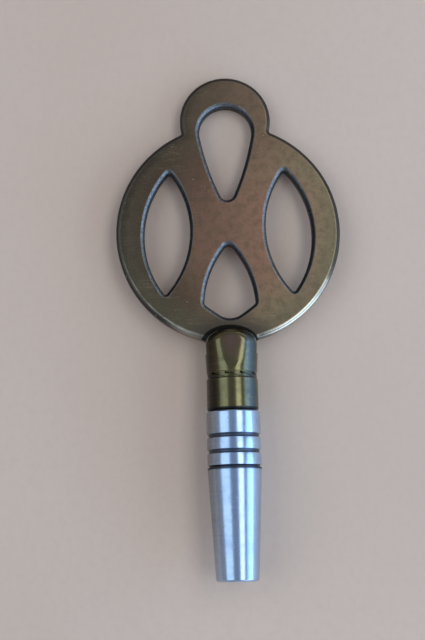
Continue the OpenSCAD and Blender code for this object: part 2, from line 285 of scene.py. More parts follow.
def bow_outline():
    """Outer outline of the bow at half its thickness, counter-clockwise from the tang's foot: its points,
    unit vectors into the metal, and how round its edge is, from 0 on the tang to 1."""
    disc = np.array([0, DISC_Y])
    reach = DISC_R + TANG_FILLET_R
    foot_x = TANG_HALF_W + TANG_FILLET_R
    foot = np.array([foot_x, DISC_Y - math.sqrt(reach**2 - foot_x**2)])
    gap = RING_Y - DISC_Y
    disc_reach, ring_reach = DISC_R + SHOULDER_R, RING_R + SHOULDER_R
    up = (disc_reach**2 - ring_reach**2 + gap**2) / (2 * gap)
    shoulder = np.array([math.sqrt(disc_reach**2 - up**2), DISC_Y + up])
    ring = np.array([0, RING_Y])
    from_disc, from_ring = heading(shoulder, disc) % 360, heading(shoulder, ring) % 360
    corner = (TANG_HALF_W - TANG_CORNER_R, TANG_FOOT_Y + TANG_CORNER_R)
    half = [
        (straight((0, TANG_FOOT_Y), (corner[0], TANG_FOOT_Y), (0, 1)), 0, 0),
        (arc(corner, TANG_CORNER_R, -90, 0, -1), 0, 0),
        (straight((TANG_HALF_W, corner[1]), (TANG_HALF_W, foot[1]), (-1, 0)), 0, 0),
        (arc(foot, TANG_FILLET_R, 180, heading(foot, disc), 1), 0, 1),
        (arc(disc, DISC_R, heading(disc, foot), heading(disc, shoulder), -1), 1, 1),
        (arc(shoulder, SHOULDER_R, from_disc, from_ring, 1), 1, 1),
        (arc(ring, RING_R, heading(ring, shoulder), 90, -1), 1, 1),
    ]
    points = np.concatenate([p for (p, n), a, b in half])
    inward = np.concatenate([n for (p, n), a, b in half])
    round_edge = np.concatenate([np.linspace(a, b, len(p), endpoint=False) for (p, n), a, b in half])
    flip = np.array([-1, 1])
    top = np.array([[0, RING_Y + RING_R]])
    points = np.concatenate([points, top, points[:0:-1] * flip])
    inward = np.concatenate([inward, [[0, -1]], inward[:0:-1] * flip])
    round_edge = np.concatenate([round_edge, [1], round_edge[:0:-1]])
    return points, inward, round_edge


def edge_section(bends, width):
    """How far in from the edge, and how far above the plate's middle, each row of an eased edge lies."""
    shares, slopes, counts = zip(*bends)
    ends = np.concatenate([[0], np.cumsum(shares)])
    fine = np.linspace(0, 1, EDGE_SAMPLES)
    normal = np.interp(fine, ends, np.radians([0, *slopes]))
    d = np.concatenate([[0], np.cumsum(np.sin(normal))[:-1]])
    z = np.concatenate([[0], np.cumsum(np.cos(normal))[:-1]])
    scale = width / d[-1]
    stops = [np.linspace(a, b, n, endpoint=False) for a, b, n in zip(ends[:-1], ends[1:], counts)]
    wall_h = PLATE_T / 2 - z[-1] * scale
    rows = [(0.0, wall_h * t) for t in WALL_ROWS]
    for t in np.concatenate([*stops, [1]]):
        rows.append((np.interp(t, fine, d) * scale, wall_h + np.interp(t, fine, z) * scale))
    rows.append((width + FACE_ROW_W, PLATE_T / 2))
    return np.array(rows)


def square_section(count):
    """The same number of rows for the tang, whose edges are nearly square."""
    r = TANG_EDGE_R
    wall_h = PLATE_T / 2 - r
    rows = [(0, z) for z in np.linspace(0, wall_h, count - TANG_EDGE_ROWS)]
    for a in np.radians(np.linspace(0, 90, TANG_EDGE_ROWS))[1:]:
        rows.append((r * (1 - math.cos(a)), wall_h + r * math.sin(a)))
    rows.append((r + FACE_ROW_W, PLATE_T / 2))
    return np.array(rows)


def inside(points, loop):
    """Which points lie inside a closed loop."""
    x, y = points[:, 0][:, None], points[:, 1][:, None]
    ax, ay = loop[:, 0], loop[:, 1]
    bx, by = np.roll(ax, -1), np.roll(ay, -1)
    spans = (ay > y) != (by > y)
    cross = ax + (y - ay) / np.where(by == ay, TINY, by - ay) * (bx - ax)
    return (spans & (x < cross)).sum(1) % 2 == 1


def in_metal(points, loops):
    """Which points lie inside the first loop and outside the others."""
    found = inside(points, loops[0])
    for loop in loops[1:]:
        found &= ~inside(points, loop)
    return found


def flat_face(loops):
    """Grid points for the flat face between loops, and its triangles over those of the loops and the grid."""
    grid_x, grid_y = np.meshgrid(np.arange(*FACE_GRID_X, FACE_GRID), np.arange(*FACE_GRID_Y, FACE_GRID))
    grid = np.column_stack([grid_x.ravel(), grid_y.ravel()])
    grid = grid[in_metal(grid, loops)]
    border = np.concatenate(loops)
    gap = np.array([np.hypot(*(border - p).T).min() for p in grid])
    grid = grid[gap > FACE_GRID_GAP]
    flat = np.concatenate([border, grid])
    edges = []
    base = 0
    for loop in loops:
        count = len(loop)
        edges += [(base + i, base + (i + 1) % count) for i in range(count)]
        base += count
    found = delaunay_2d_cdt([Vector(p) for p in flat], edges, [], 0, FLAT_WELD)
    triangles = [[found[3][v][0] for v in face] for face in found[2]]
    solid = in_metal(np.array([flat[t].mean(0) for t in triangles]), loops)
    return grid, [t for t, kept in zip(triangles, solid) if kept]


def bow_outlines():
    """Every outline of the bow, the outer one first: (points, vectors into the metal, how eased, section)."""
    worn = edge_section(RUBBED_EDGE, RUBBED_EDGE_W)
    filed = edge_section(FILED_EDGE, FILED_EDGE_W)
    holes = [opening_outline(LOOP, LOOP_SIDES), opening_outline(WINDOW, WINDOW_SIDES)]
    for side in (-1, 1):
        holes.append(opening_outline(LENS, LENS_SIDES, side * LENS_LEAN, (side * LENS_X, DISC_Y)))
    return [(*bow_outline(), worn)] + [(p, n, np.ones(len(p)), filed) for p, n in holes]


def bow_mesh():
    """Flat faces with a grid of points inside them, and eased edges swept round every outline.
    Three attributes guide the finish. rim goes from 0 on the face to 1 on an edge's nose. outside is 1 on the
    outer edge, 0 in the openings and 0.5 on the faces. The attribute for painted shade is 1 on walls that
    face left or up.
    A loop is (first point at the back, first point at the front, number of points)."""
    co, marks, faces, loops = [], [], [], []
    start = 0
    for order, (points, inward, eased, section) in enumerate(bow_outlines()):
        count = len(points)
        w = eased[:, None]
        rows = [w * full + (1 - w) * tight for full, tight in zip(section, square_section(len(section)))]
        stack = [row * (1, -1) for row in rows[:0:-1]] + rows
        # How much painted shade the wall gets for the way it faces
        shade_facing = np.clip(inward[:, 0] * SHADE_FACING_X + inward[:, 1] * SHADE_FACING_Y, 0, 1)
        outside = np.full(count, 0.0 if order else 1.0)
        for d, z in (row.T for row in stack):
            co.append(np.column_stack([points + inward * d[:, None], z]))
            marks.append(np.column_stack([np.clip(1 - d / section[-1][0], 0, 1), outside, shade_facing]))
        last = len(stack) - 1
        for k in range(last):
            a, b = start + k * count, start + (k + 1) * count
            for i in range(count):
                j = (i + 1) % count
                faces.append((a + i, a + j, b + j, b + i))
        loops.append((start, start + last * count, count))
        start += len(stack) * count
    co = np.concatenate(co)

    for level, z in enumerate((-PLATE_T / 2, PLATE_T / 2)):
        rings = [np.arange(loop[level], loop[level] + loop[2]) for loop in loops]
        grid, triangles = flat_face([co[ring, :2] for ring in rings])
        index = np.concatenate(rings + [np.arange(len(co), len(co) + len(grid))])
        co = np.concatenate([co, np.column_stack([grid, np.full(len(grid), z)])])
        marks.append(np.tile((0, 0.5, 0), (len(grid), 1)))
        for triangle in triangles:
            ids = [int(index[v]) for v in triangle]
            faces.append(ids if level else ids[::-1])

    mesh = bpy.data.meshes.new("bow_plate")
    mesh.from_pydata((co * MM).tolist(), [], faces)
    for name, values in zip(("rim", "outside", "shade_facing"), np.concatenate(marks).T):
        layer = mesh.attributes.new(name, "FLOAT", "POINT")
        layer.data.foreach_set("value", values.astype(np.float32))
    bm = bmesh.new()
    bm.from_mesh(mesh)
    bmesh.ops.recalc_face_normals(bm, faces=bm.faces)
    bm.to_mesh(mesh)
    bm.free()
    mesh.shade_smooth()
    return mesh


def rounded(profile):
    """A turned profile of (radius, distance, corner radius) with round corners and a row close to each."""
    out = []
    count = len(profile)
    for i, (r, y, bend) in enumerate(profile):
        if not bend:
            out.append((r, y))
            continue
        p = Vector((r, y))
        before = Vector(profile[i - 1][:2]) - p
        after = Vector(profile[(i + 1) % count][:2]) - p
        half = before.angle(after) / 2
        before.normalize()
        after.normalize()
        cut = bend / math.tan(half)
        a, b = p + before * cut, p + after * cut
        hub = p + (before + after).normalized() * bend / math.sin(half)
        out.append(tuple(a + before * bend * BEND_LEAD))
        for t in np.linspace(0, 1, BEND_ROWS):
            ray = (a - hub).lerp(b - hub, t).normalized() * bend
            out.append(tuple(hub + ray))
        out.append(tuple(b + after * bend * BEND_LEAD))
    return out


def spun(name, profile, segments):
    """A turned solid: a closed profile of (radius, distance) spun round the key's axis."""
    verts, faces, rows = [], [], []
    for r, y in profile:
        if r < AXIS_R:
            rows.append([len(verts)] * segments)
            verts.append((0, y, 0))
            continue
        rows.append(list(range(len(verts), len(verts) + segments)))
        for i in range(segments):
            a = 2 * math.pi * i / segments
            verts.append((r * math.cos(a), y, -r * math.sin(a)))
    for k in range(len(rows)):
        low, high = rows[k], rows[(k + 1) % len(rows)]
        for i in range(segments):
            j = (i + 1) % segments
            face = list(dict.fromkeys((low[i], low[j], high[j], high[i])))
            if len(face) > 2:
                faces.append(face)
    mesh = bpy.data.meshes.new(name)
    mesh.from_pydata([(x * MM, y * MM, z * MM) for x, y, z in verts], [], faces)
    clean(mesh)
    return mesh


def box_mesh(name, low, high):
    """A box between two corners."""
    mesh = bpy.data.meshes.new(name)
    bm = bmesh.new()
    bmesh.ops.create_cube(bm, size=1)
    size = Vector(high) - Vector(low)
    for v in bm.verts:
        v.co = (Vector(low) + Vector([(c + 0.5) * s for c, s in zip(v.co, size)])) * MM
    bm.to_mesh(mesh)
    bm.free()
    return mesh


def cut_out(piece, cutter_mesh):
    """Cuts a solid out of a piece."""
    cutter = new_object("cutter", cutter_mesh)
    cut = piece.modifiers.new("cut", "BOOLEAN")
    cut.operation = "DIFFERENCE"
    cut.solver = "EXACT"
    cut.object = cutter
    bake(piece)
    bpy.data.objects.remove(cutter)
    bpy.data.meshes.remove(cutter_mesh)


def drop_slivers(mesh):
    """Splits the faces of a cut piece into triangles and takes out those with no area or no body."""
    bm = bmesh.new()
    bm.from_mesh(mesh)
    bmesh.ops.dissolve_degenerate(bm, dist=SLIVER * MM, edges=bm.edges)
    bmesh.ops.triangulate(bm, faces=bm.faces)
    twins = {}
    for face in bm.faces:
        twins.setdefault(frozenset(face.verts), []).append(face)
    flaps = [face for pair in twins.values() if len(pair) > 1 for face in pair]
    bmesh.ops.delete(bm, geom=flaps, context="FACES")
    bm.to_mesh(mesh)
    bm.free()


# Saw teeth: one sector of a turned piece, with one tooth, repeated round the axis

def tooth_sector(name, rows, tooth_height):
    """Mesh of one tooth's sector. A row is (radius, height), or (radius, None) where it lies on the tooth.
    The tooth's face bends at a knee, where its worn tip ends."""
    worn_t = TOOTH_WEAR / TOOTH_SLOPE
    first = round(TOOTH_STEPS * KNEE_SHARE)
    bm = bmesh.new()

    def point(r, y, angle):
        return bm.verts.new((r * math.cos(angle) * MM, y * MM, -r * math.sin(angle) * MM))

    grid = []
    for r, y in rows:
        if r < AXIS_R:
            grid.append([point(0, y, 0)] * (TOOTH_STEPS + 1))
            continue
        knee = TOOTH_PITCH * KNEE_SHARE
        if TOOTH_BORE_R <= r <= TOOTH_R:
            knee = math.asin(min(1, worn_t / r))
        to_root = np.linspace(knee, TOOTH_PITCH, TOOTH_STEPS - first + 1)
        angles = [*np.linspace(0, knee, first + 1), *to_root[1:]]
        grid.append([point(r, tooth_height(r, a) if y is None else y, a) for a in angles])

    def face(*corners):
        corners = list(dict.fromkeys(corners))
        spots = {tuple(round(c, 9) for c in v.co) for v in corners}
        if len(corners) > 2 and len(spots) > 2:
            bm.faces.new(corners)

    for k in range(len(grid)):
        low, high = grid[k], grid[(k + 1) % len(grid)]
        for i in range(TOOTH_STEPS):
            face(low[i], low[i + 1], high[i + 1], high[i])
    on_tooth = [k for k, (r, y) in enumerate(rows) if y is None]
    wall_low = [point(rows[k][0], tooth_height(rows[k][0], TOOTH_PITCH), 0) for k in on_tooth]
    for n in range(len(on_tooth) - 1):
        a, b = grid[on_tooth[n]][0], grid[on_tooth[n + 1]][0]
        face(a, b, wall_low[n + 1], wall_low[n])
    mesh = bpy.data.meshes.new(name)
    bm.to_mesh(mesh)
    bm.free()
    return mesh


def node_in(tree, kind, settings=None, sockets=None):
    """Adds a node to a geometry tree, sets it, and links or fills its sockets."""
    made = tree.nodes.new(kind)
    for key, value in (settings or {}).items():
        setattr(made, key, value)
    for key, value in (sockets or {}).items():
        if isinstance(value, bpy.types.NodeSocket):
            tree.links.new(value, made.inputs[key])
        else:
            made.inputs[key].default_value = value
    return made


def set_inputs(modifier, values):
    """Sets a modifier's inputs by the names of its tree's sockets."""
    for item in modifier.node_group.interface.items_tree:
        if item.item_type == "SOCKET" and item.in_out == "INPUT" and item.name in values:
            modifier[item.identifier] = values[item.name]


def new_tree(name, sockets):
    """A new geometry tree with inputs of the given names and kinds, and the outputs of its first node."""
    tree = bpy.data.node_groups.new(name, "GeometryNodeTree")
    for label, kind in sockets.items():
        tree.interface.new_socket(label, in_out="INPUT", socket_type="NodeSocket" + kind)
    tree.interface.new_socket("Geometry", in_out="OUTPUT", socket_type="NodeSocketGeometry")
    return tree, node_in(tree, "NodeGroupInput").outputs


def end_tree(tree, geometry, material):
    """Gives the geometry its material and sends it to the tree's output."""
    clad = node_in(tree, "GeometryNodeSetMaterial", None, {"Geometry": geometry, "Material": material})
    node_in(tree, "NodeGroupOutput", None, {0: clad.outputs[0]})
    return tree


def ring_of_sectors_tree():
    """Repeats a sector round the Y axis and joins the copies into one skin."""
    tree, given = new_tree("ring_of_sectors", {
        "Geometry": "Geometry", "Count": "Int", "Join Distance": "Float", "Material": "Material"})
    points = node_in(tree, "GeometryNodePoints", None, {"Count": given["Count"]})
    index = node_in(tree, "GeometryNodeInputIndex")
    step = node_in(tree, "ShaderNodeMath", {"operation": "DIVIDE"}, {0: 2 * math.pi, 1: given["Count"]})
    angle = node_in(tree, "ShaderNodeMath", {"operation": "MULTIPLY"}, {
        0: index.outputs[0], 1: step.outputs[0]})
    spin = node_in(tree, "ShaderNodeCombineXYZ", None, {"Y": angle.outputs[0]})
    copies = node_in(tree, "GeometryNodeInstanceOnPoints", None, {
        "Points": points.outputs[0], "Instance": given["Geometry"], "Rotation": spin.outputs[0]})
    real = node_in(tree, "GeometryNodeRealizeInstances", None, {0: copies.outputs[0]})
    joined = node_in(tree, "GeometryNodeMergeByDistance", None, {
        "Geometry": real.outputs[0], "Distance": given["Join Distance"]})
    return end_tree(tree, joined.outputs[0], given["Material"])


def coil_tree():
    """A round wire wound along the Y axis."""
    tree, given = new_tree("wound_wire", {
        "Geometry": "Geometry", "Turns": "Float", "Coil Radius": "Float", "Height": "Float",
        "Wire Radius": "Float", "Foot": "Float", "Material": "Material"})
    path = node_in(tree, "GeometryNodeCurveSpiral", None, {
        "Resolution": COIL_STEPS, "Rotations": given["Turns"], "Height": given["Height"],
        "Start Radius": given["Coil Radius"], "End Radius": given["Coil Radius"]})
    wire = node_in(tree, "GeometryNodeCurvePrimitiveCircle", None, {
        "Resolution": WIRE_STEPS, "Radius": given["Wire Radius"]})
    tube = node_in(tree, "GeometryNodeCurveToMesh", None, {
        "Curve": path.outputs[0], "Profile Curve": wire.outputs[0], "Fill Caps": True})
    foot = node_in(tree, "ShaderNodeCombineXYZ", None, {"Y": given["Foot"]})
    stood = node_in(tree, "GeometryNodeTransform", None, {
        "Geometry": tube.outputs[0], "Translation": foot.outputs[0],
        "Rotation": (-math.pi / 2, -math.pi / 2, 0)})
    real = node_in(tree, "GeometryNodeRealizeInstances", None, {0: stood.outputs[0]})
    return end_tree(tree, real.outputs[0], given["Material"])


def by_nodes(name, start_mesh, tree, material, values):
    """A piece that a geometry tree makes, as a plain mesh."""
    piece = add_piece(name, start_mesh, material)
    modifier = piece.modifiers.new("made", "NODES")
    modifier.node_group = tree
    set_inputs(modifier, {**values, "Material": material})
    bake(piece)
    clean(piece.data)
    return piece


# Materials

class Wire:
    """A socket of a shader tree. Operators on it add Math nodes, and node() adds any other node."""

    def __init__(self, tree, socket=None):
        self.tree = tree
        self.socket = socket

    def node(self, kind, settings=None, sockets=None, out=0):
        """Adds a node, sets it, links or fills its sockets, and gives one of its outputs."""
        made = self.tree.nodes.new(kind)
        for key, value in (settings or {}).items():
            setattr(made, key, value)
        for key, value in (sockets or {}).items():
            if isinstance(value, Wire):
                self.tree.links.new(value.socket, made.inputs[key])
            else:
                made.inputs[key].default_value = value
        return Wire(self.tree, made.outputs[out] if made.outputs else None)

    def maths(self, operation, a, b=0.0):
        """A Math node of two values or wires."""
        return self.node("ShaderNodeMath", {"operation": operation}, {0: a, 1: b})

    def __add__(self, other):
        return self.maths("ADD", self, other)

    def __radd__(self, other):
        return self.maths("ADD", other, self)

    def __sub__(self, other):
        return self.maths("SUBTRACT", self, other)

    def __rsub__(self, other):
        return self.maths("SUBTRACT", other, self)

    def __mul__(self, other):
        return self.maths("MULTIPLY", self, other)

    def __rmul__(self, other):
        return self.maths("MULTIPLY", other, self)

    def __truediv__(self, other):
        return self.maths("DIVIDE", self, other)

    def __pow__(self, other):
        return self.maths("POWER", self, other)

    def size(self):
        return self.maths("ABSOLUTE", self)

    def larger(self, other):
        return self.maths("MAXIMUM", self, other)

    def over(self, low, high, to_low=0.0, to_high=1.0):
        """Eases from to_low to to_high as the value goes from low to high."""
        return self.node("ShaderNodeMapRange", {"interpolation_type": "SMOOTHSTEP"}, {
            "Value": self, "From Min": low, "From Max": high, "To Min": to_low, "To Max": to_high})

    def blend(self, a, b):
        """Colour a where this value is 0, and colour b where it is 1."""
        return self.node("ShaderNodeMix", {"data_type": "RGBA"}, {0: self, 6: a, 7: b}, out=2)

    def noise(self, place, scale, detail=2.0, roughness=0.5):
        return self.node("ShaderNodeTexNoise", None, {
            "Vector": place, "Scale": scale, "Detail": detail, "Roughness": roughness})

    def stretched(self, place, scale, turn=(0, 0, 0), shift=(0, 0, 0)):
        return self.node("ShaderNodeMapping", None, {
            "Vector": place, "Scale": scale, "Rotation": turn, "Location": shift})

    def attribute(self, name):
        """A mesh attribute, as a value."""
        return self.node("ShaderNodeAttribute", {"attribute_name": name}, out=2)

    def parts(self):
        """The x, y and z of a vector."""
        split = self.node("ShaderNodeSeparateXYZ", None, {0: self})
        return [Wire(self.tree, output) for output in split.socket.node.outputs]


def rgb(r, g, b):
    return (r, g, b, 1.0)


# Colours of the bow, from its metal to its wear, its dirt, and its painted shade and highlights
BROWN_BRASS = rgb(0.46, 0.253, 0.163)
OLIVE_BRASS = rgb(0.37, 0.28, 0.16)
MOTTLED_BRASS = rgb(0.235, 0.155, 0.093)
LEFT_SHADE_BRASS = rgb(0.112, 0.075, 0.05)
OUTER_BRASS = rgb(0.155, 0.143, 0.09)
PALE_GRAIN = rgb(0.47, 0.325, 0.195)
DARK_GRAIN = rgb(0.09, 0.066, 0.045)
SHADED_BRASS = rgb(0.03, 0.026, 0.022)
FILED_DARK = rgb(0.12, 0.13, 0.14)
FILED_PALE = rgb(0.26, 0.275, 0.285)
RIM_BRASS = rgb(0.06, 0.054, 0.048)
RUBBED_BRASS = rgb(0.54, 0.48, 0.37)
BRIGHT_BRASS = rgb(0.74, 0.70, 0.58)
SCRATCHED_BRASS = rgb(0.55, 0.45, 0.30)
NICKED_BRASS = rgb(0.6, 0.55, 0.42)
NOSE_DIRT = rgb(0.028, 0.026, 0.028)
WALL_SHADE = rgb(0.022, 0.02, 0.02)
DOME_SHADE_AND_DIRT = rgb(0.06, 0.052, 0.048)
CREASE_DIRT_AND_SHADE = rgb(0.010, 0.009, 0.008)

# Colours that the turned pieces share
PRESSED_BRASS = rgb(0.30, 0.185, 0.14)
WORN_LIP_AND_HIGHLIGHT = rgb(0.52, 0.50, 0.38)
BAND_DIRT = rgb(0.02, 0.021, 0.028)

# Colours of the table and the room
TABLE_DEEP = rgb(0.76, 0.575, 0.455)
TABLE_PALE = rgb(0.82, 0.63, 0.505)
TABLE_GRAIN = rgb(0.70, 0.525, 0.415)
LEFT_WALL = rgb(0.33, 0.30, 0.28)
RIGHT_WALL = rgb(0.70, 0.79, 0.90)
CEILING = rgb(0.24, 0.262, 0.33)

# Centre of the outer edge's best polished stretch, which is also a painted highlight, and the half width and
# height of the dirt and painted shade round the boss
WORN_HIGHLIGHT_SPOT = (6.8, 24.0)
DARK_ARCH = (2.42, 1.6)
# Stretch of the scratches' noise and of the patches they come in
SCRATCH_STRETCH = (0.12, 2.6, 2.6)
PATCH_STRETCH = (0.35, 0.35, 0.35)
# Dirty bands of the turned brass, at its seam and at its foot: middle, half width and amount
SEAM_BAND = (18.75, 0.3, 0.4)
FOOT_BAND = (15.6, 0.22, 0.8)
# The same in the pipe's grooves
GROOVE_BANDS = [(y, 0.17, 0.85) for y in GROOVES_Y]


def bare_tree(holder):
    """A Wire in the emptied node tree of a material or a world."""
    holder.use_nodes = True
    holder.node_tree.nodes.clear()
    return Wire(holder.node_tree)


def surface(name):
    """A new material, a Wire to build it with, and the place on the piece in millimetres."""
    material = bpy.data.materials.new(name)
    wire = bare_tree(material)
    on_object = wire.node("ShaderNodeTexCoord", out=3)
    place = wire.node("ShaderNodeVectorMath", {"operation": "SCALE"}, {0: on_object, "Scale": 1 / MM})
    return material, wire, place


def finish(wire, colour, roughness, height, strength, distance, metal):
    """The bump and the shader at the end of a material."""
    bump = wire.node("ShaderNodeBump", None, {
        "Strength": strength, "Distance": distance * MM, "Height": height})
    skin = wire.node("ShaderNodeBsdfPrincipled", None, {
        "Base Color": colour, "Roughness": roughness, "Metallic": metal, "Normal": bump})
    wire.node("ShaderNodeOutputMaterial", None, {"Surface": skin})


def scratches(wire, place, turns):
    """Sparse fine scratches in several directions, 0 to 1."""
    total = 0.0
    for n, turn in enumerate(turns):
        along = wire.stretched(place, SCRATCH_STRETCH, (0, 0, math.radians(turn)), (n * 7.3, n * 3.1, 0))
        line = (wire.noise(along, 1.0, 1.0, 0.4) - 0.5).size().over(0.0, 0.006, 1.0, 0.0)
        spread = wire.stretched(place, PATCH_STRETCH, shift=(n * 11.7, 5.0, n))
        total = (line * wire.noise(spread, 1.0).over(0.56, 0.66)).larger(total)
    return total


def distance(x, y, centre):
    """How far a place lies from a centre, seen from the front."""
    dx, dy = x - centre[0], y - centre[1]
    return (dx * dx + dy * dy) ** 0.5


def bow_material():
    """Brass gone brown in the middle and olive to the rim, rubbed pale on its edges, with dirt and painted
    shade round the boss, painted shade on its left and on walls that face left or up, and a painted highlight
    on its lower right edge.
    """
    material, wire, place = surface("aged_brass")
    x, y, _ = place.parts()
    rim, outside, shade_facing = (wire.attribute(name) for name in ("rim", "outside", "shade_facing"))
    cloud = wire.noise(place, 0.22, 4.0, 0.55)
    mottle = wire.noise(place, 1.3, 5.0, 0.6)
    grain = wire.noise(place, 9.0, 3.0, 0.6)
    patch = wire.noise(place, 0.6, 3.0, 0.6)
    middle = distance(x, y, (0, DISC_Y))

    # The plate, with painted shade to the left and along its upper left rim, and darker towards its outer
    # edge
    olive = (middle / DISC_R + (cloud - 0.5) * 0.7).over(0.35, 1.0) * y.over(38.0, 42.5, 1.0, 0.25)
    colour = olive.blend(BROWN_BRASS, OLIVE_BRASS)
    colour = (mottle.over(0.38, 0.7) * 0.7).blend(colour, MOTTLED_BRASS)
    # Painted shade, stronger towards the left of the plate
    left_shade = (x + (cloud - 0.5) * 6.0).over(-8.0, 8.0, 0.88, 0.0) * middle.over(2.0, 9.0, 0.66, 1.1)
    colour = left_shade.blend(colour, LEFT_SHADE_BRASS)
    outer_band = (middle + (mottle - 0.5) * 2.0).over(7.0, 10.4) * x.over(-4.0, 5.0, 0.7, 0.5)
    colour = (outer_band * y.over(32.0, 38.0, 1.0, 0.5)).blend(colour, OUTER_BRASS)
    colour = (grain.over(0.5, 0.8) * 0.3).blend(colour, PALE_GRAIN)
    colour = grain.over(0.25, 0.45, 0.35, 0.0).blend(colour, DARK_GRAIN)
    # Painted shade along the upper left rim of the plate
    to_edge = (DISC_R - middle).larger(RING_R - distance(x, y, (0, RING_Y))) + (mottle - 0.5) * 0.8
    shaded = to_edge.over(0.3, 1.3, 0.42, 0.0) * x.over(-6.0, 3.0, 1.0, 0.0) * y.over(27.0, 32.0)
    colour = shaded.blend(colour, SHADED_BRASS)

    # Filed edges in the openings with painted shade on their walls that face left or up, and the dark outer
    # edge
    filed = rim.over(0.1, 0.3) * (1 - outside)
    file_marks = wire.noise(place, 5.0, 3.0, 0.7).over(0.35, 0.7)
    colour = (filed * 0.95).blend(colour, file_marks.blend(FILED_DARK, FILED_PALE))
    # Painted shade on the opening walls that face left or up
    wall_shade = shade_facing * (1 - outside) * rim.over(0.16, 0.34) * 0.82
    colour = wall_shade.blend(colour, WALL_SHADE)
    outer_edge = rim.over(0.15, 0.4) * outside
    colour = (outer_edge * 0.9).blend(colour, RIM_BRASS)

    # Edges rubbed pale and polished by handling, with a dark nose; the polished stretches also carry a
    # painted highlight
    handled = (y + (patch - 0.5) * 10.0).over(24.0, 31.0, 1.0, 0.12) * rim.over(0.03, 0.1)
    worn_highlight_spot = (distance(x, y, WORN_HIGHLIGHT_SPOT) + (patch - 0.5) * 4.0).over(2.0, 6.0, 1.0, 0.0)
    polished = worn_highlight_spot.larger(y.over(22.4, 24.4, 0.8, 0.0)) * outside
    rubbed = handled * (rim - polished * 0.5).over(0.22, 0.4, 1.0, 0.0) * mottle.over(0.3, 0.6, 0.3, 1.0)
    rubbed = rubbed * outside.over(0.0, 0.4, 0.3, 1.0)
    colour = (rubbed * 0.8).blend(colour, RUBBED_BRASS)
    # The polished stretches are painted bright, as wear and as a painted highlight
    bright = polished * rim.over(0.08, 0.25)
    colour = (bright * 0.85).blend(colour, BRIGHT_BRASS)
    nose = (rim - polished * 0.15).over(0.8, 0.97) * y.over(21.9, 22.5, 0.3, 1.0)
    colour = (nose * 0.93).blend(colour, NOSE_DIRT)

    # Dirt and painted shade round the boss, scratches and nicks
    arch = ((x / DARK_ARCH[0]) ** 2.0 + ((y - DOME_Y) / DARK_ARCH[1]) ** 2.0) ** 0.5
    low = y.over(21.0, 21.6)
    # Dirt and painted shade in the crease round the dome
    crease_dirt_and_shade = (arch + x * 0.02).over(1.1, 1.2, 1.0, 0.0) * low
    # Painted shade, with some dirt, on the plate just above the dome
    colour = (arch.over(1.1, 2.2, 0.6, 0.0) * low).blend(colour, DOME_SHADE_AND_DIRT)
    colour = (crease_dirt_and_shade * 0.95).blend(colour, CREASE_DIRT_AND_SHADE)
    lines = scratches(wire, place, (8, 62, 118, 163)) * rim.over(0.02, 0.1, 1.0, 0.0)
    colour = (lines * 0.3).blend(colour, SCRATCHED_BRASS)
    nicks = wire.noise(place, 2.6, 1.0, 0.4).over(0.775, 0.79)
    colour = (nicks * 0.5).blend(colour, NICKED_BRASS)

    roughness = 0.38 + (mottle - 0.5) * 0.16 + crease_dirt_and_shade * 0.25 + nose * 0.15 - bright * 0.14
    height = grain * 0.5 + mottle * 0.8 + lines * -0.9 + cloud * 1.5
    finish(wire, colour, roughness, height, strength=0.25, distance=0.012, metal=1 - nose * 0.6)
    return material


def turned_material(name, base, dark, pale, rough, tarnish, spin_scale, painted_sides=(), dirty=()):
    """Turned metal: rings of fine tool marks, cloudy tarnish, a few scratches along it, and dirty bands.
    The painted sides are listed as (from x, to x, lowest height, amount, colour, added roughness): shade and
    reflections painted on one side.
    dirty lists (middle, half width, amount) of the dirty bands along the axis."""
    material, wire, place = surface(name)
    across, along, up = place.parts()
    rings = wire.noise(wire.stretched(place, (0.02, spin_scale, 0.02)), 1.0, 4.0, 0.65)
    cloud = wire.noise(place, 0.5, 4.0, 0.6)
    mottle = wire.noise(place, 2.6, 4.0, 0.6)
    colour = (cloud.over(0.4, 0.75) * tarnish).blend(base, dark)
    colour = (mottle.over(0.5, 0.8) * tarnish * 0.6).blend(colour, dark)
    colour = (wire.attribute("pressed") * 0.75).blend(colour, PRESSED_BRASS)

    # Painted shade and reflections on the sides, the left one wider on the boss than on the collar
    dull = 0.0
    lean = along.over(COLLAR_ROOT_Y, BOSS_ROOT_Y + 0.3) * 0.25
    thin_spots = mottle.over(0.3, 0.45, 0.8, 1.0)
    flank = up + (cloud - 0.5) * 0.9
    for start, end, low, amount, side_colour, rougher in painted_sides:
        spot = across + (mottle - 0.5) * 0.6
        if end < start:
            spot = spot + lean
        side_paint = spot.over(start, end, 0.0, amount) * thin_spots * flank.over(low, low + 1.2)
        colour = side_paint.blend(colour, side_colour)
        dull = side_paint * rougher + dull

    # Tool marks, scratches, dirty bands and the worn lips of the boss's slot, whose pale colour is also a
    # painted highlight
    colour = (rings.over(0.5, 0.75) * 0.3).blend(colour, pale)
    lines = scratches(wire, place, (84, 97, 40))
    colour = (lines * 0.4).blend(colour, pale)
    roughness = rough + (mottle - 0.5) * 0.14 + cloud.over(0.45, 0.75) * tarnish * 0.12 + dull
    for middle, half_width, amount in dirty:
        dirt = (along - middle).size().over(half_width * 0.75, half_width, amount, 0.0)
        colour = dirt.blend(colour, BAND_DIRT)
        roughness = roughness + dirt * 0.15
    # The slot's lips are worn pale, and the pale colour also stands in as a painted highlight
    lip = (up.size() - SLOT_HALF_T).size().over(0.2, 0.45, 1.0, 0.0) * along.over(DOME_Y, DOME_Y + 0.4)
    lip = lip * across.size().over(0.9, 1.5) * mottle.over(0.3, 0.6, 0.35, 1.0)
    colour = (lip * 0.85).blend(colour, WORN_LIP_AND_HIGHLIGHT)

    height = rings * 0.9 + mottle * 0.3 - lines * 0.5
    finish(wire, colour, roughness, height, strength=0.2, distance=0.006, metal=1 - lip * 0.6)
    return material


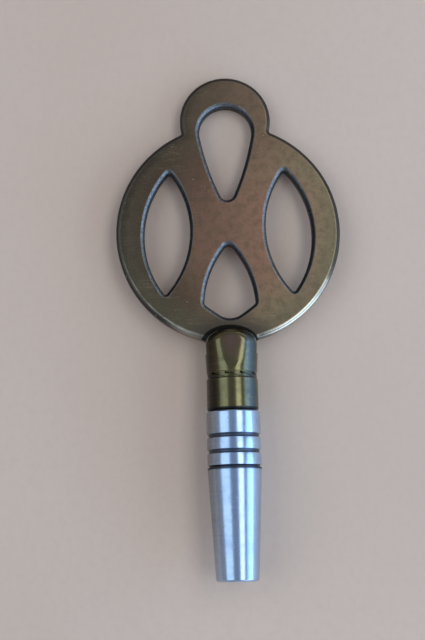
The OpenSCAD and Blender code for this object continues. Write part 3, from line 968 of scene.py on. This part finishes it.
def floor_material():
    """A pale table top with a faint grain."""
    material, wire, place = surface("pale_table")
    cloud = wire.noise(place, 0.02, 3.0, 0.5)
    grain = wire.noise(place, 1.5, 3.0, 0.6)
    colour = cloud.over(0.3, 0.7).blend(TABLE_DEEP, TABLE_PALE)
    colour = (grain.over(0.4, 0.7) * 0.2).blend(colour, TABLE_GRAIN)
    finish(wire, colour, 0.42, grain, strength=0.1, distance=0.05, metal=0.0)
    return material


# Pieces

def dome_rows():
    """Rows of the boss from its foot over the dome to the axis."""
    crown_r = BOSS_R - DOME_EDGE_R * (1 - math.cos(math.radians(DOME_EDGE_ANGLE)))
    crown_y = DOME_Y + DOME_EDGE_R * math.sin(math.radians(DOME_EDGE_ANGLE))
    crown_h = DOME_TOP_Y - crown_y
    ball_r = (crown_r**2 + crown_h**2) / (2 * crown_h)
    edge = math.asin(crown_r / ball_r)
    hub = BOSS_R - DOME_EDGE_R
    rows = [(BOSS_FOOT_R, BOSS_SIDE_Y)]
    for t in BARREL_ROWS:
        rows.append((BOSS_FOOT_R + (BOSS_R - BOSS_FOOT_R) * t, BOSS_SIDE_Y + (DOME_Y - BOSS_SIDE_Y) * t))
    for a in np.radians(np.linspace(0, DOME_EDGE_ANGLE, DOME_EDGE_ROWS)):
        rows.append((hub + DOME_EDGE_R * math.cos(a), DOME_Y + DOME_EDGE_R * math.sin(a)))
    for a in np.linspace(edge, 0, CROWN_ROWS)[1:-1]:
        rows.append((ball_r * math.sin(a), DOME_TOP_Y - ball_r + ball_r * math.cos(a)))
    rows.append((0.0, DOME_TOP_Y))
    return rows


def press_flats(mesh):
    """Presses a slanting flat into the front and the back of the boss, with soft edges.
    The attribute pressed, from 0 to 1, guides the finish."""
    co = np.empty(len(mesh.vertices) * 3, np.float32)
    mesh.vertices.foreach_get("co", co)
    co = co.reshape(-1, 3).astype(float) / MM
    start_y = BOSS_ROOT_Y + FLAT_START
    start_z = BOSS_FOOT_R + (BOSS_R - BOSS_FOOT_R) * (start_y - BOSS_SIDE_Y) / (DOME_Y - BOSS_SIDE_Y)
    end_z = math.sqrt(BOSS_R**2 - (FLAT_W / 2) ** 2)
    depth = np.abs(co[:, 2])
    flat = start_z + (end_z - start_z) * (co[:, 1] - start_y) / (DOME_Y - start_y)
    near = np.clip(1 - np.abs(depth - flat) / FLAT_SOFT, 0, 1)
    near *= np.clip((co[:, 1] - start_y) / FLAT_FADE, 0, 1)
    co[:, 2] = np.sign(co[:, 2]) * (np.minimum(depth, flat) - near**2 * FLAT_SOFT / 4)
    mesh.vertices.foreach_set("co", (co * MM).astype(np.float32).ravel())
    pressed = np.clip((depth - flat) / FLAT_SOFT - 0.05, 0, 1)
    layer = mesh.attributes.new("pressed", "FLOAT", "POINT")
    layer.data.foreach_set("value", pressed.astype(np.float32))
    mesh.update()


def toothed(name, rows, tooth_height, material, tree):
    """A turned piece with a ring of saw teeth."""
    sector = tooth_sector(name + "_sector", rows, tooth_height)
    return by_nodes(name, sector, tree, material, {"Count": TOOTH_COUNT, "Join Distance": JOIN_DIST})


def make_boss(material, tree):
    """The domed barrel, with teeth under it, a slot for the bow and a thread hole."""
    def under_side(r, angle):
        return max(BOSS_ROOT_Y - TOOTH_H, BOSS_ROOT_Y - TOOTH_SLOPE * r * math.sin(angle))

    hole_y = SLOT_Y + HOLE_PAST_SLOT
    rows = [
        (0.0, hole_y), (THREAD_HOLE_R, hole_y), (THREAD_HOLE_R, BOSS_ROOT_Y), (TOOTH_BORE_R, BOSS_ROOT_Y),
        (TOOTH_BORE_R, None), (TOOTH_MID_R, None), (TOOTH_R, None), (TOOTH_R, BOSS_ROOT_Y),
    ] + dome_rows()
    boss = toothed("boss_turned", rows, under_side, material, tree)
    press_flats(boss.data)
    low, high = (-SLOT_CUT_X, SLOT_Y, -SLOT_HALF_T), (SLOT_CUT_X, SLOT_CUT_Y, SLOT_HALF_T)
    cut_out(boss, box_mesh("slot", low, high))
    drop_slivers(boss.data)
    shade(boss.data, angle=38)
    return boss


def make_collar(material, tree):
    """The collar, with teeth on top, a bore for the spindle and the spigot that the pipe is pressed on."""
    def top_side(r, angle):
        slope = COLLAR_ROOT_Y + TOOTH_H - TOOTH_SLOPE * r * math.sin(angle)
        return max(COLLAR_ROOT_Y, min(slope, COLLAR_ROOT_Y + TOOTH_H - TOOTH_WEAR))

    skirt = rounded([
        (SPIGOT_R, SPIGOT_Y, 0), (SPIGOT_R, PIPE_LEN, 0), (COLLAR_R - COLLAR_CHAMFER, PIPE_LEN, 0.05),
        (COLLAR_R, PIPE_LEN + COLLAR_CHAMFER, 0.12), (COLLAR_R, COLLAR_ROOT_Y - (COLLAR_R - TOOTH_R), 0.08),
        (TOOTH_R, COLLAR_ROOT_Y, 0)])
    foot_y = top_side(TOOTH_BORE_R, TOOTH_PITCH)
    rows = [
        (COLLAR_BORE_R, COLLAR_ROOT_Y), (COLLAR_BORE_R, SPIGOT_Y), *skirt,
        (TOOTH_R, None), (TOOTH_MID_R, None), (TOOTH_BORE_R, None),
        (TOOTH_BORE_R, foot_y), (TOOTH_BORE_R, COLLAR_ROOT_Y)]
    collar = toothed("collar_turned", rows, top_side, material, tree)
    shade(collar.data, angle=38)
    return collar


def pipe_profile():
    """Section of the pipe: the pilot hole, the mouth, the tapered and grooved outside, and the chamber."""
    drill_y = PILOT_Y + PILOT_R / math.tan(math.radians(DRILL_HALF_ANGLE))
    rows = [
        (0.0, drill_y, 0), (PILOT_R, PILOT_Y, 0), (PILOT_R, MOUTH_CONE_H * (1 - PILOT_R / MOUTH_R), 0),
        (MOUTH_R, 0.0, 0.03), (TIP_R - PIPE_CHAMFER, 0.0, 0.06), (TIP_R, PIPE_CHAMFER, 0.12),
        (PIPE_R, TAPER_LEN - TAPER_EASE, 1.0)]
    hub_r = PIPE_R + GROOVE_R - GROOVE_DEPTH
    lip = math.sqrt(GROOVE_R**2 - (GROOVE_R - GROOVE_DEPTH) ** 2)
    sweep = math.asin(lip / GROOVE_R)
    for y in sorted(GROOVES_Y):
        rows += [(PIPE_R, y - lip - GROOVE_LIP_W, 0), (PIPE_R - GROOVE_LIP_H, y - lip, 0)]
        for a in np.linspace(-sweep, sweep, GROOVE_ROWS)[1:-1]:
            rows.append((hub_r - GROOVE_R * math.cos(a), y + GROOVE_R * math.sin(a), 0))
        rows += [(PIPE_R - GROOVE_LIP_H, y + lip, 0), (PIPE_R, y + lip + GROOVE_LIP_W, 0)]
    rows += [
        (PIPE_R, PIPE_LEN - PIPE_CHAMFER, 0.1), (PIPE_R - PIPE_CHAMFER, PIPE_LEN, 0.05),
        (SPIGOT_R, PIPE_LEN, 0), (SPIGOT_R, SPIGOT_Y, 0),
        (CHAMBER_R, SPIGOT_Y, 0), (CHAMBER_R, CHAMBER_Y, 0), (0.0, CHAMBER_Y, 0)]
    return rounded(rows)


def make_pipe(material):
    """The steel pipe with its square socket."""
    pipe = add_piece("pipe_turned", spun("pipe_turned", pipe_profile(), segments=192), material)
    w = SQUARE_HALF_W
    cut_out(pipe, box_mesh("square", (-w, -CUT_PAST, -w), (w, SQUARE_DEPTH, w)))
    shade(pipe.data, angle=40)
    return pipe


def make_spindle(material):
    """The screw on the axis, with a driver slot in its head and a plain shank for its thread."""
    profile = rounded([
        (0.0, HEAD_Y, 0), (HEAD_R, HEAD_Y, 0.12), (HEAD_R, HEAD_TOP_Y, 0.06), (SHANK_R, HEAD_TOP_Y, 0),
        (SHANK_R, BOSS_ROOT_Y, 0.03), (THREAD_R, BOSS_ROOT_Y, 0),
        (THREAD_R, THREAD_END_Y - THREAD_CHAMFER, 0), (THREAD_R - THREAD_CHAMFER, THREAD_END_Y, 0),
        (0.0, THREAD_END_Y, 0)])
    spindle = add_piece("spindle_turned", spun("spindle_turned", profile, segments=64), material)
    w = DRIVER_SLOT_HALF_W
    low, high = (-DRIVER_CUT_X, HEAD_Y - CUT_PAST, -w), (DRIVER_CUT_X, HEAD_Y + DRIVER_SLOT_DEPTH, w)
    cut_out(spindle, box_mesh("driver_slot", low, high))
    shade(spindle.data, angle=40)
    return spindle


def make_spring(material):
    """The wound wire round the spindle."""
    empty = bpy.data.meshes.new("spring_start")
    spring = by_nodes("spring_wound", empty, coil_tree(), material, {
        "Turns": float(COIL_TURNS), "Coil Radius": COIL_D / 2 * MM, "Height": COIL_TURNS * COIL_PITCH * MM,
        "Wire Radius": WIRE_D / 2 * MM, "Foot": COIL_Y * MM})
    shade(spring.data, angle=50)
    return spring


aged_brass = bow_material()
# The dark left side of the boss and collar is painted shade, and their blue-green right side is a painted
# reflection of the window
turned_brass = turned_material(
    "turned_brass", base=rgb(0.20, 0.178, 0.085), dark=rgb(0.085, 0.066, 0.045), pale=rgb(0.28, 0.255, 0.14),
    rough=0.19, tarnish=0.7, spin_scale=3.2, dirty=[SEAM_BAND, FOOT_BAND], painted_sides=[
        (-0.75, -1.8, -0.8, 0.94, rgb(0.024, 0.021, 0.019), 0.1),
        (0.8, 1.8, 0.2, 0.84, rgb(0.088, 0.138, 0.168), 0.25)])
# The steel's blue tint is a painted reflection of the blue window light, and its grey left side is a painted
# reflection of the table
polished_steel = turned_material(
    "polished_steel", base=rgb(0.475, 0.625, 0.85), dark=rgb(0.33, 0.44, 0.64), pale=rgb(0.63, 0.78, 0.95),
    rough=0.22, tarnish=0.5, spin_scale=4.0, dirty=GROOVE_BANDS, painted_sides=[
        (-1.3, -2.3, -0.8, 0.85, rgb(0.21, 0.21, 0.215), 0.0)])
plain_steel = turned_material(
    "plain_steel", base=rgb(0.40, 0.42, 0.45), dark=rgb(0.25, 0.25, 0.27), pale=rgb(0.55, 0.57, 0.60),
    rough=0.32, tarnish=0.5, spin_scale=5.0)

sectors = ring_of_sectors_tree()
bow = add_piece("bow_plate", bow_mesh(), aged_brass)
boss = make_boss(turned_brass, sectors)
collar = make_collar(turned_brass, sectors)
pipe = make_pipe(polished_steel)
spindle = make_spindle(plain_steel)
spring = make_spring(plain_steel)

for piece, body, node, slot in (
    (bow, "bow_body", "bow", "bow_brass"),
    (boss, "bow_body", "boss", "boss_brass"),
    (spindle, "bow_body", "spindle_screw", "inner_steel"),
    (spring, "spring_body", "ratchet_spring", "inner_steel"),
    (collar, "pipe_body", "ratchet_collar", "boss_brass"),
    (pipe, "pipe_body", "pipe", "pipe_steel"),
):
    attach(piece, body)
    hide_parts(node)

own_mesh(spring)


# Table, light and camera

# In metres
TABLE_HALF = 3.0
TABLE_GAP = 1e-5

# Soft boxes, as name, place, size, radiance and colour, all aimed at one point
LAMPS = [
    ("left_box", (-197, 30, 226), (210, 330), 1.05, (0.75, 0.90, 1.0)),
    ("right_box", (131, 30, 270), (115, 330), 1.95, (0.85, 0.95, 1.0)),
    ("window", (232, -85, 90), (165, 480), 2.0, (0.40, 0.65, 1.0)),
]
LAMP_AIM = Vector((0, 25, 0))

CAMERA_PLACE = (-2.235, 3.335, 116.13)
CAMERA_RIGHT = Vector((0.99967, -0.02573, 0.0))
CAMERA_BACK = Vector((-0.00456, -0.17702, 0.98420))
CAMERA_SENSOR = 36
CAMERA_LENS = 70.31
CAMERA_CLIP = 0.001


def standing(place, right, up, back):
    """The matrix of an object at a place, with the given ways as its axes."""
    return Matrix.Translation(Vector(place) * MM) @ Matrix((right, up, back)).transposed().to_4x4()


def add_table(material, pieces):
    """A pale table under the key, which rests on the back of its ring and on the lowest of the pieces."""
    touch_y, touch_z = RING_Y + RING_R - RUBBED_EDGE_W, -PLATE_T / 2
    slope = 0.0
    for piece in pieces:
        co = np.array([v.co for v in piece.data.vertices]) / MM
        slope = max(slope, ((touch_z - co[:, 2]) / (touch_y - co[:, 1])).max())
    along = Vector((0, 1, slope)).normalized()
    up = Vector((1, 0, 0)).cross(along)
    middle = Vector((0, touch_y, touch_z)) * MM - up * TABLE_GAP
    corners = []
    for a, b in ((-1, -1), (1, -1), (1, 1), (-1, 1)):
        corners.append(middle + (Vector((a, 0, 0)) + along * b) * TABLE_HALF)
    mesh = bpy.data.meshes.new("table")
    mesh.from_pydata([tuple(c) for c in corners], [], [(0, 1, 2, 3)])
    mesh.materials.append(material)
    table = new_object("table", mesh)


def add_lamp(name, place, size, radiance, colour):
    """A soft box that the camera doesn't see."""
    lamp = bpy.data.lights.new(name, "AREA")
    lamp.shape = "RECTANGLE"
    lamp.size, lamp.size_y = size[0] * MM, size[1] * MM
    lamp.energy = radiance * math.pi * lamp.size * lamp.size_y
    lamp.color = colour
    holder = new_object(name, lamp)
    back = (Vector(place) - LAMP_AIM).normalized()
    right = Vector((0, 1, 0)).cross(back).normalized()
    holder.matrix_world = standing(place, right, back.cross(right), back)
    holder.visible_camera = False


def add_world():
    """A plain room, warm grey to the left and pale blue to the right, with a darker ceiling."""
    world = bpy.data.worlds.new("studio")
    bpy.context.scene.world = world
    wire = bare_tree(world)
    side, _, height = wire.node("ShaderNodeTexCoord").parts()
    walls = side.over(-0.7, 0.7).blend(LEFT_WALL, RIGHT_WALL)
    colour = height.over(0.12, 0.6).blend(walls, CEILING)
    room = wire.node("ShaderNodeBackground", None, {"Color": colour})
    wire.node("ShaderNodeOutputWorld", None, {"Surface": room})


def add_camera():
    """The photograph's view: from above the key, leaning a little towards its bow."""
    lens = bpy.data.cameras.new("camera")
    lens.sensor_width = CAMERA_SENSOR
    lens.lens = CAMERA_LENS
    lens.clip_start = CAMERA_CLIP
    camera = new_object("camera", lens)
    back = CAMERA_BACK.normalized()
    up = back.cross(CAMERA_RIGHT).normalized()
    right = up.cross(back).normalized()
    camera.matrix_world = standing(CAMERA_PLACE, right, up, back)
    bpy.context.scene.camera = camera


add_table(floor_material(), [boss, collar, pipe])
for row in LAMPS:
    add_lamp(*row)
add_world()
add_camera()
bpy.context.scene.view_settings.view_transform = "Standard"
